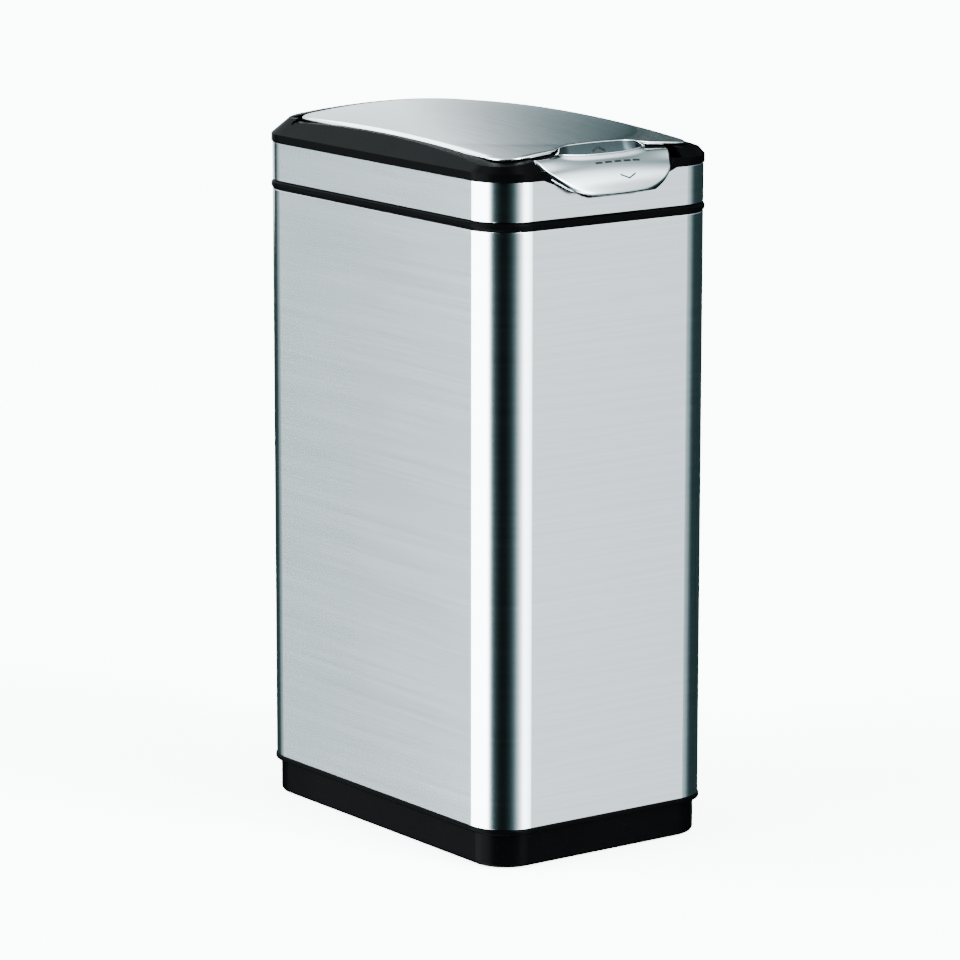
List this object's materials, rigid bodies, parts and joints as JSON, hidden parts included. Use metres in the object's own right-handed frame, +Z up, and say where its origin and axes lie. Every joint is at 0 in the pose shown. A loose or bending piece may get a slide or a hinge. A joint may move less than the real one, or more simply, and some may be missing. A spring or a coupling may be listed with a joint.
{
  "type": "push-top kitchen bin",
  "caption": "Slim brushed-steel kitchen bin with a crowned hinged lid, a front push tab and catch, a lift-off head, a lift-out bucket and a black plinth.",
  "frame": {"origin": "on the floor under the middle of the steel body", "axes": "+Z up, the push tab towards -Y, +X to the right seen from the front"},
  "size_m": [0.2526, 0.3963, 0.657],
  "materials": {
    "brushed_sleeve": "horizontal brushed grain",
    "brushed_lid": "brushed grain across the lid",
    "satin_tab": "fine satin",
    "black_moulding": "semi-gloss moulded",
    "bucket_plastic": "moulded",
    "grip_plastic": "moulded",
    "acetal": "natural white",
    "plain_steel": "zinc plated",
    "rubber": "matt"
  },
  "bodies": {
    "bin": {"foot_ring": "rubber", "base_plinth": "black_moulding", "floor_plate": "plain_steel", "base_screws": "plain_steel", "body_shell": "brushed_sleeve", "body_rim": "black_moulding"},
    "head": {"collar_band": "brushed_sleeve", "head_bezel": "black_moulding", "hinge_pin": "plain_steel", "lid_springs": "plain_steel", "lid_buffers": "rubber", "catch_cover": "black_moulding", "catch_screws": "plain_steel", "tab_pivot_pin": "plain_steel", "tab_springs": "plain_steel"},
    "lid": {"lid_panel": "brushed_lid", "lid_pan": "black_moulding", "lid_strike": "plain_steel"},
    "tab": {"push_tab": "satin_tab", "tab_backing": "black_moulding"},
    "catch": {"catch_slide": "acetal"},
    "bucket": {"inner_bucket": "bucket_plastic"},
    "bail": {"bucket_bail": "plain_steel", "bail_grip": "grip_plastic"}
  },
  "joints": [
    {"name": "head_lift", "type": "slide", "parent": "bin", "child": "head", "axis": [0, 0, 1], "range_m": [0, 0.95]},
    {"name": "lid_hinge", "type": "hinge", "parent": "head", "child": "lid", "pos_m": [0, 0.142, 0.642], "axis": [-1, 0, 0], "range_deg": [0, 80]},
    {"name": "tab_press", "type": "hinge", "parent": "head", "child": "tab", "pos_m": [0, -0.168, 0.618], "axis": [1, 0, 0], "range_deg": [0, 6], "stiffness_Nm_per_rad": 1.5, "springref_deg": -6.88, "deforming": ["tab_springs"]},
    {"name": "catch_travel", "type": "slide", "parent": "head", "child": "catch", "axis": [0, 1, 0], "range_m": [0, 0.00299]},
    {"name": "bucket_lift", "type": "slide", "parent": "bin", "child": "bucket", "axis": [0, 0, 1], "range_m": [0, 0.57]},
    {"name": "bail_swing", "type": "hinge", "parent": "bucket", "child": "bail", "pos_m": [0, 0, 0.5508], "axis": [1, 0, 0], "range_deg": [0, 90]}
  ],
  "couplings": [
    {"joint": "catch_travel", "follows": "tab_press", "m_per_rad": 0.0285},
    {"joint": "bucket_lift", "follows": "head_lift", "ratio": 0.6},
    {"joint": "bail_swing", "follows": "head_lift", "rad_per_m": 1.6535}
  ]
}
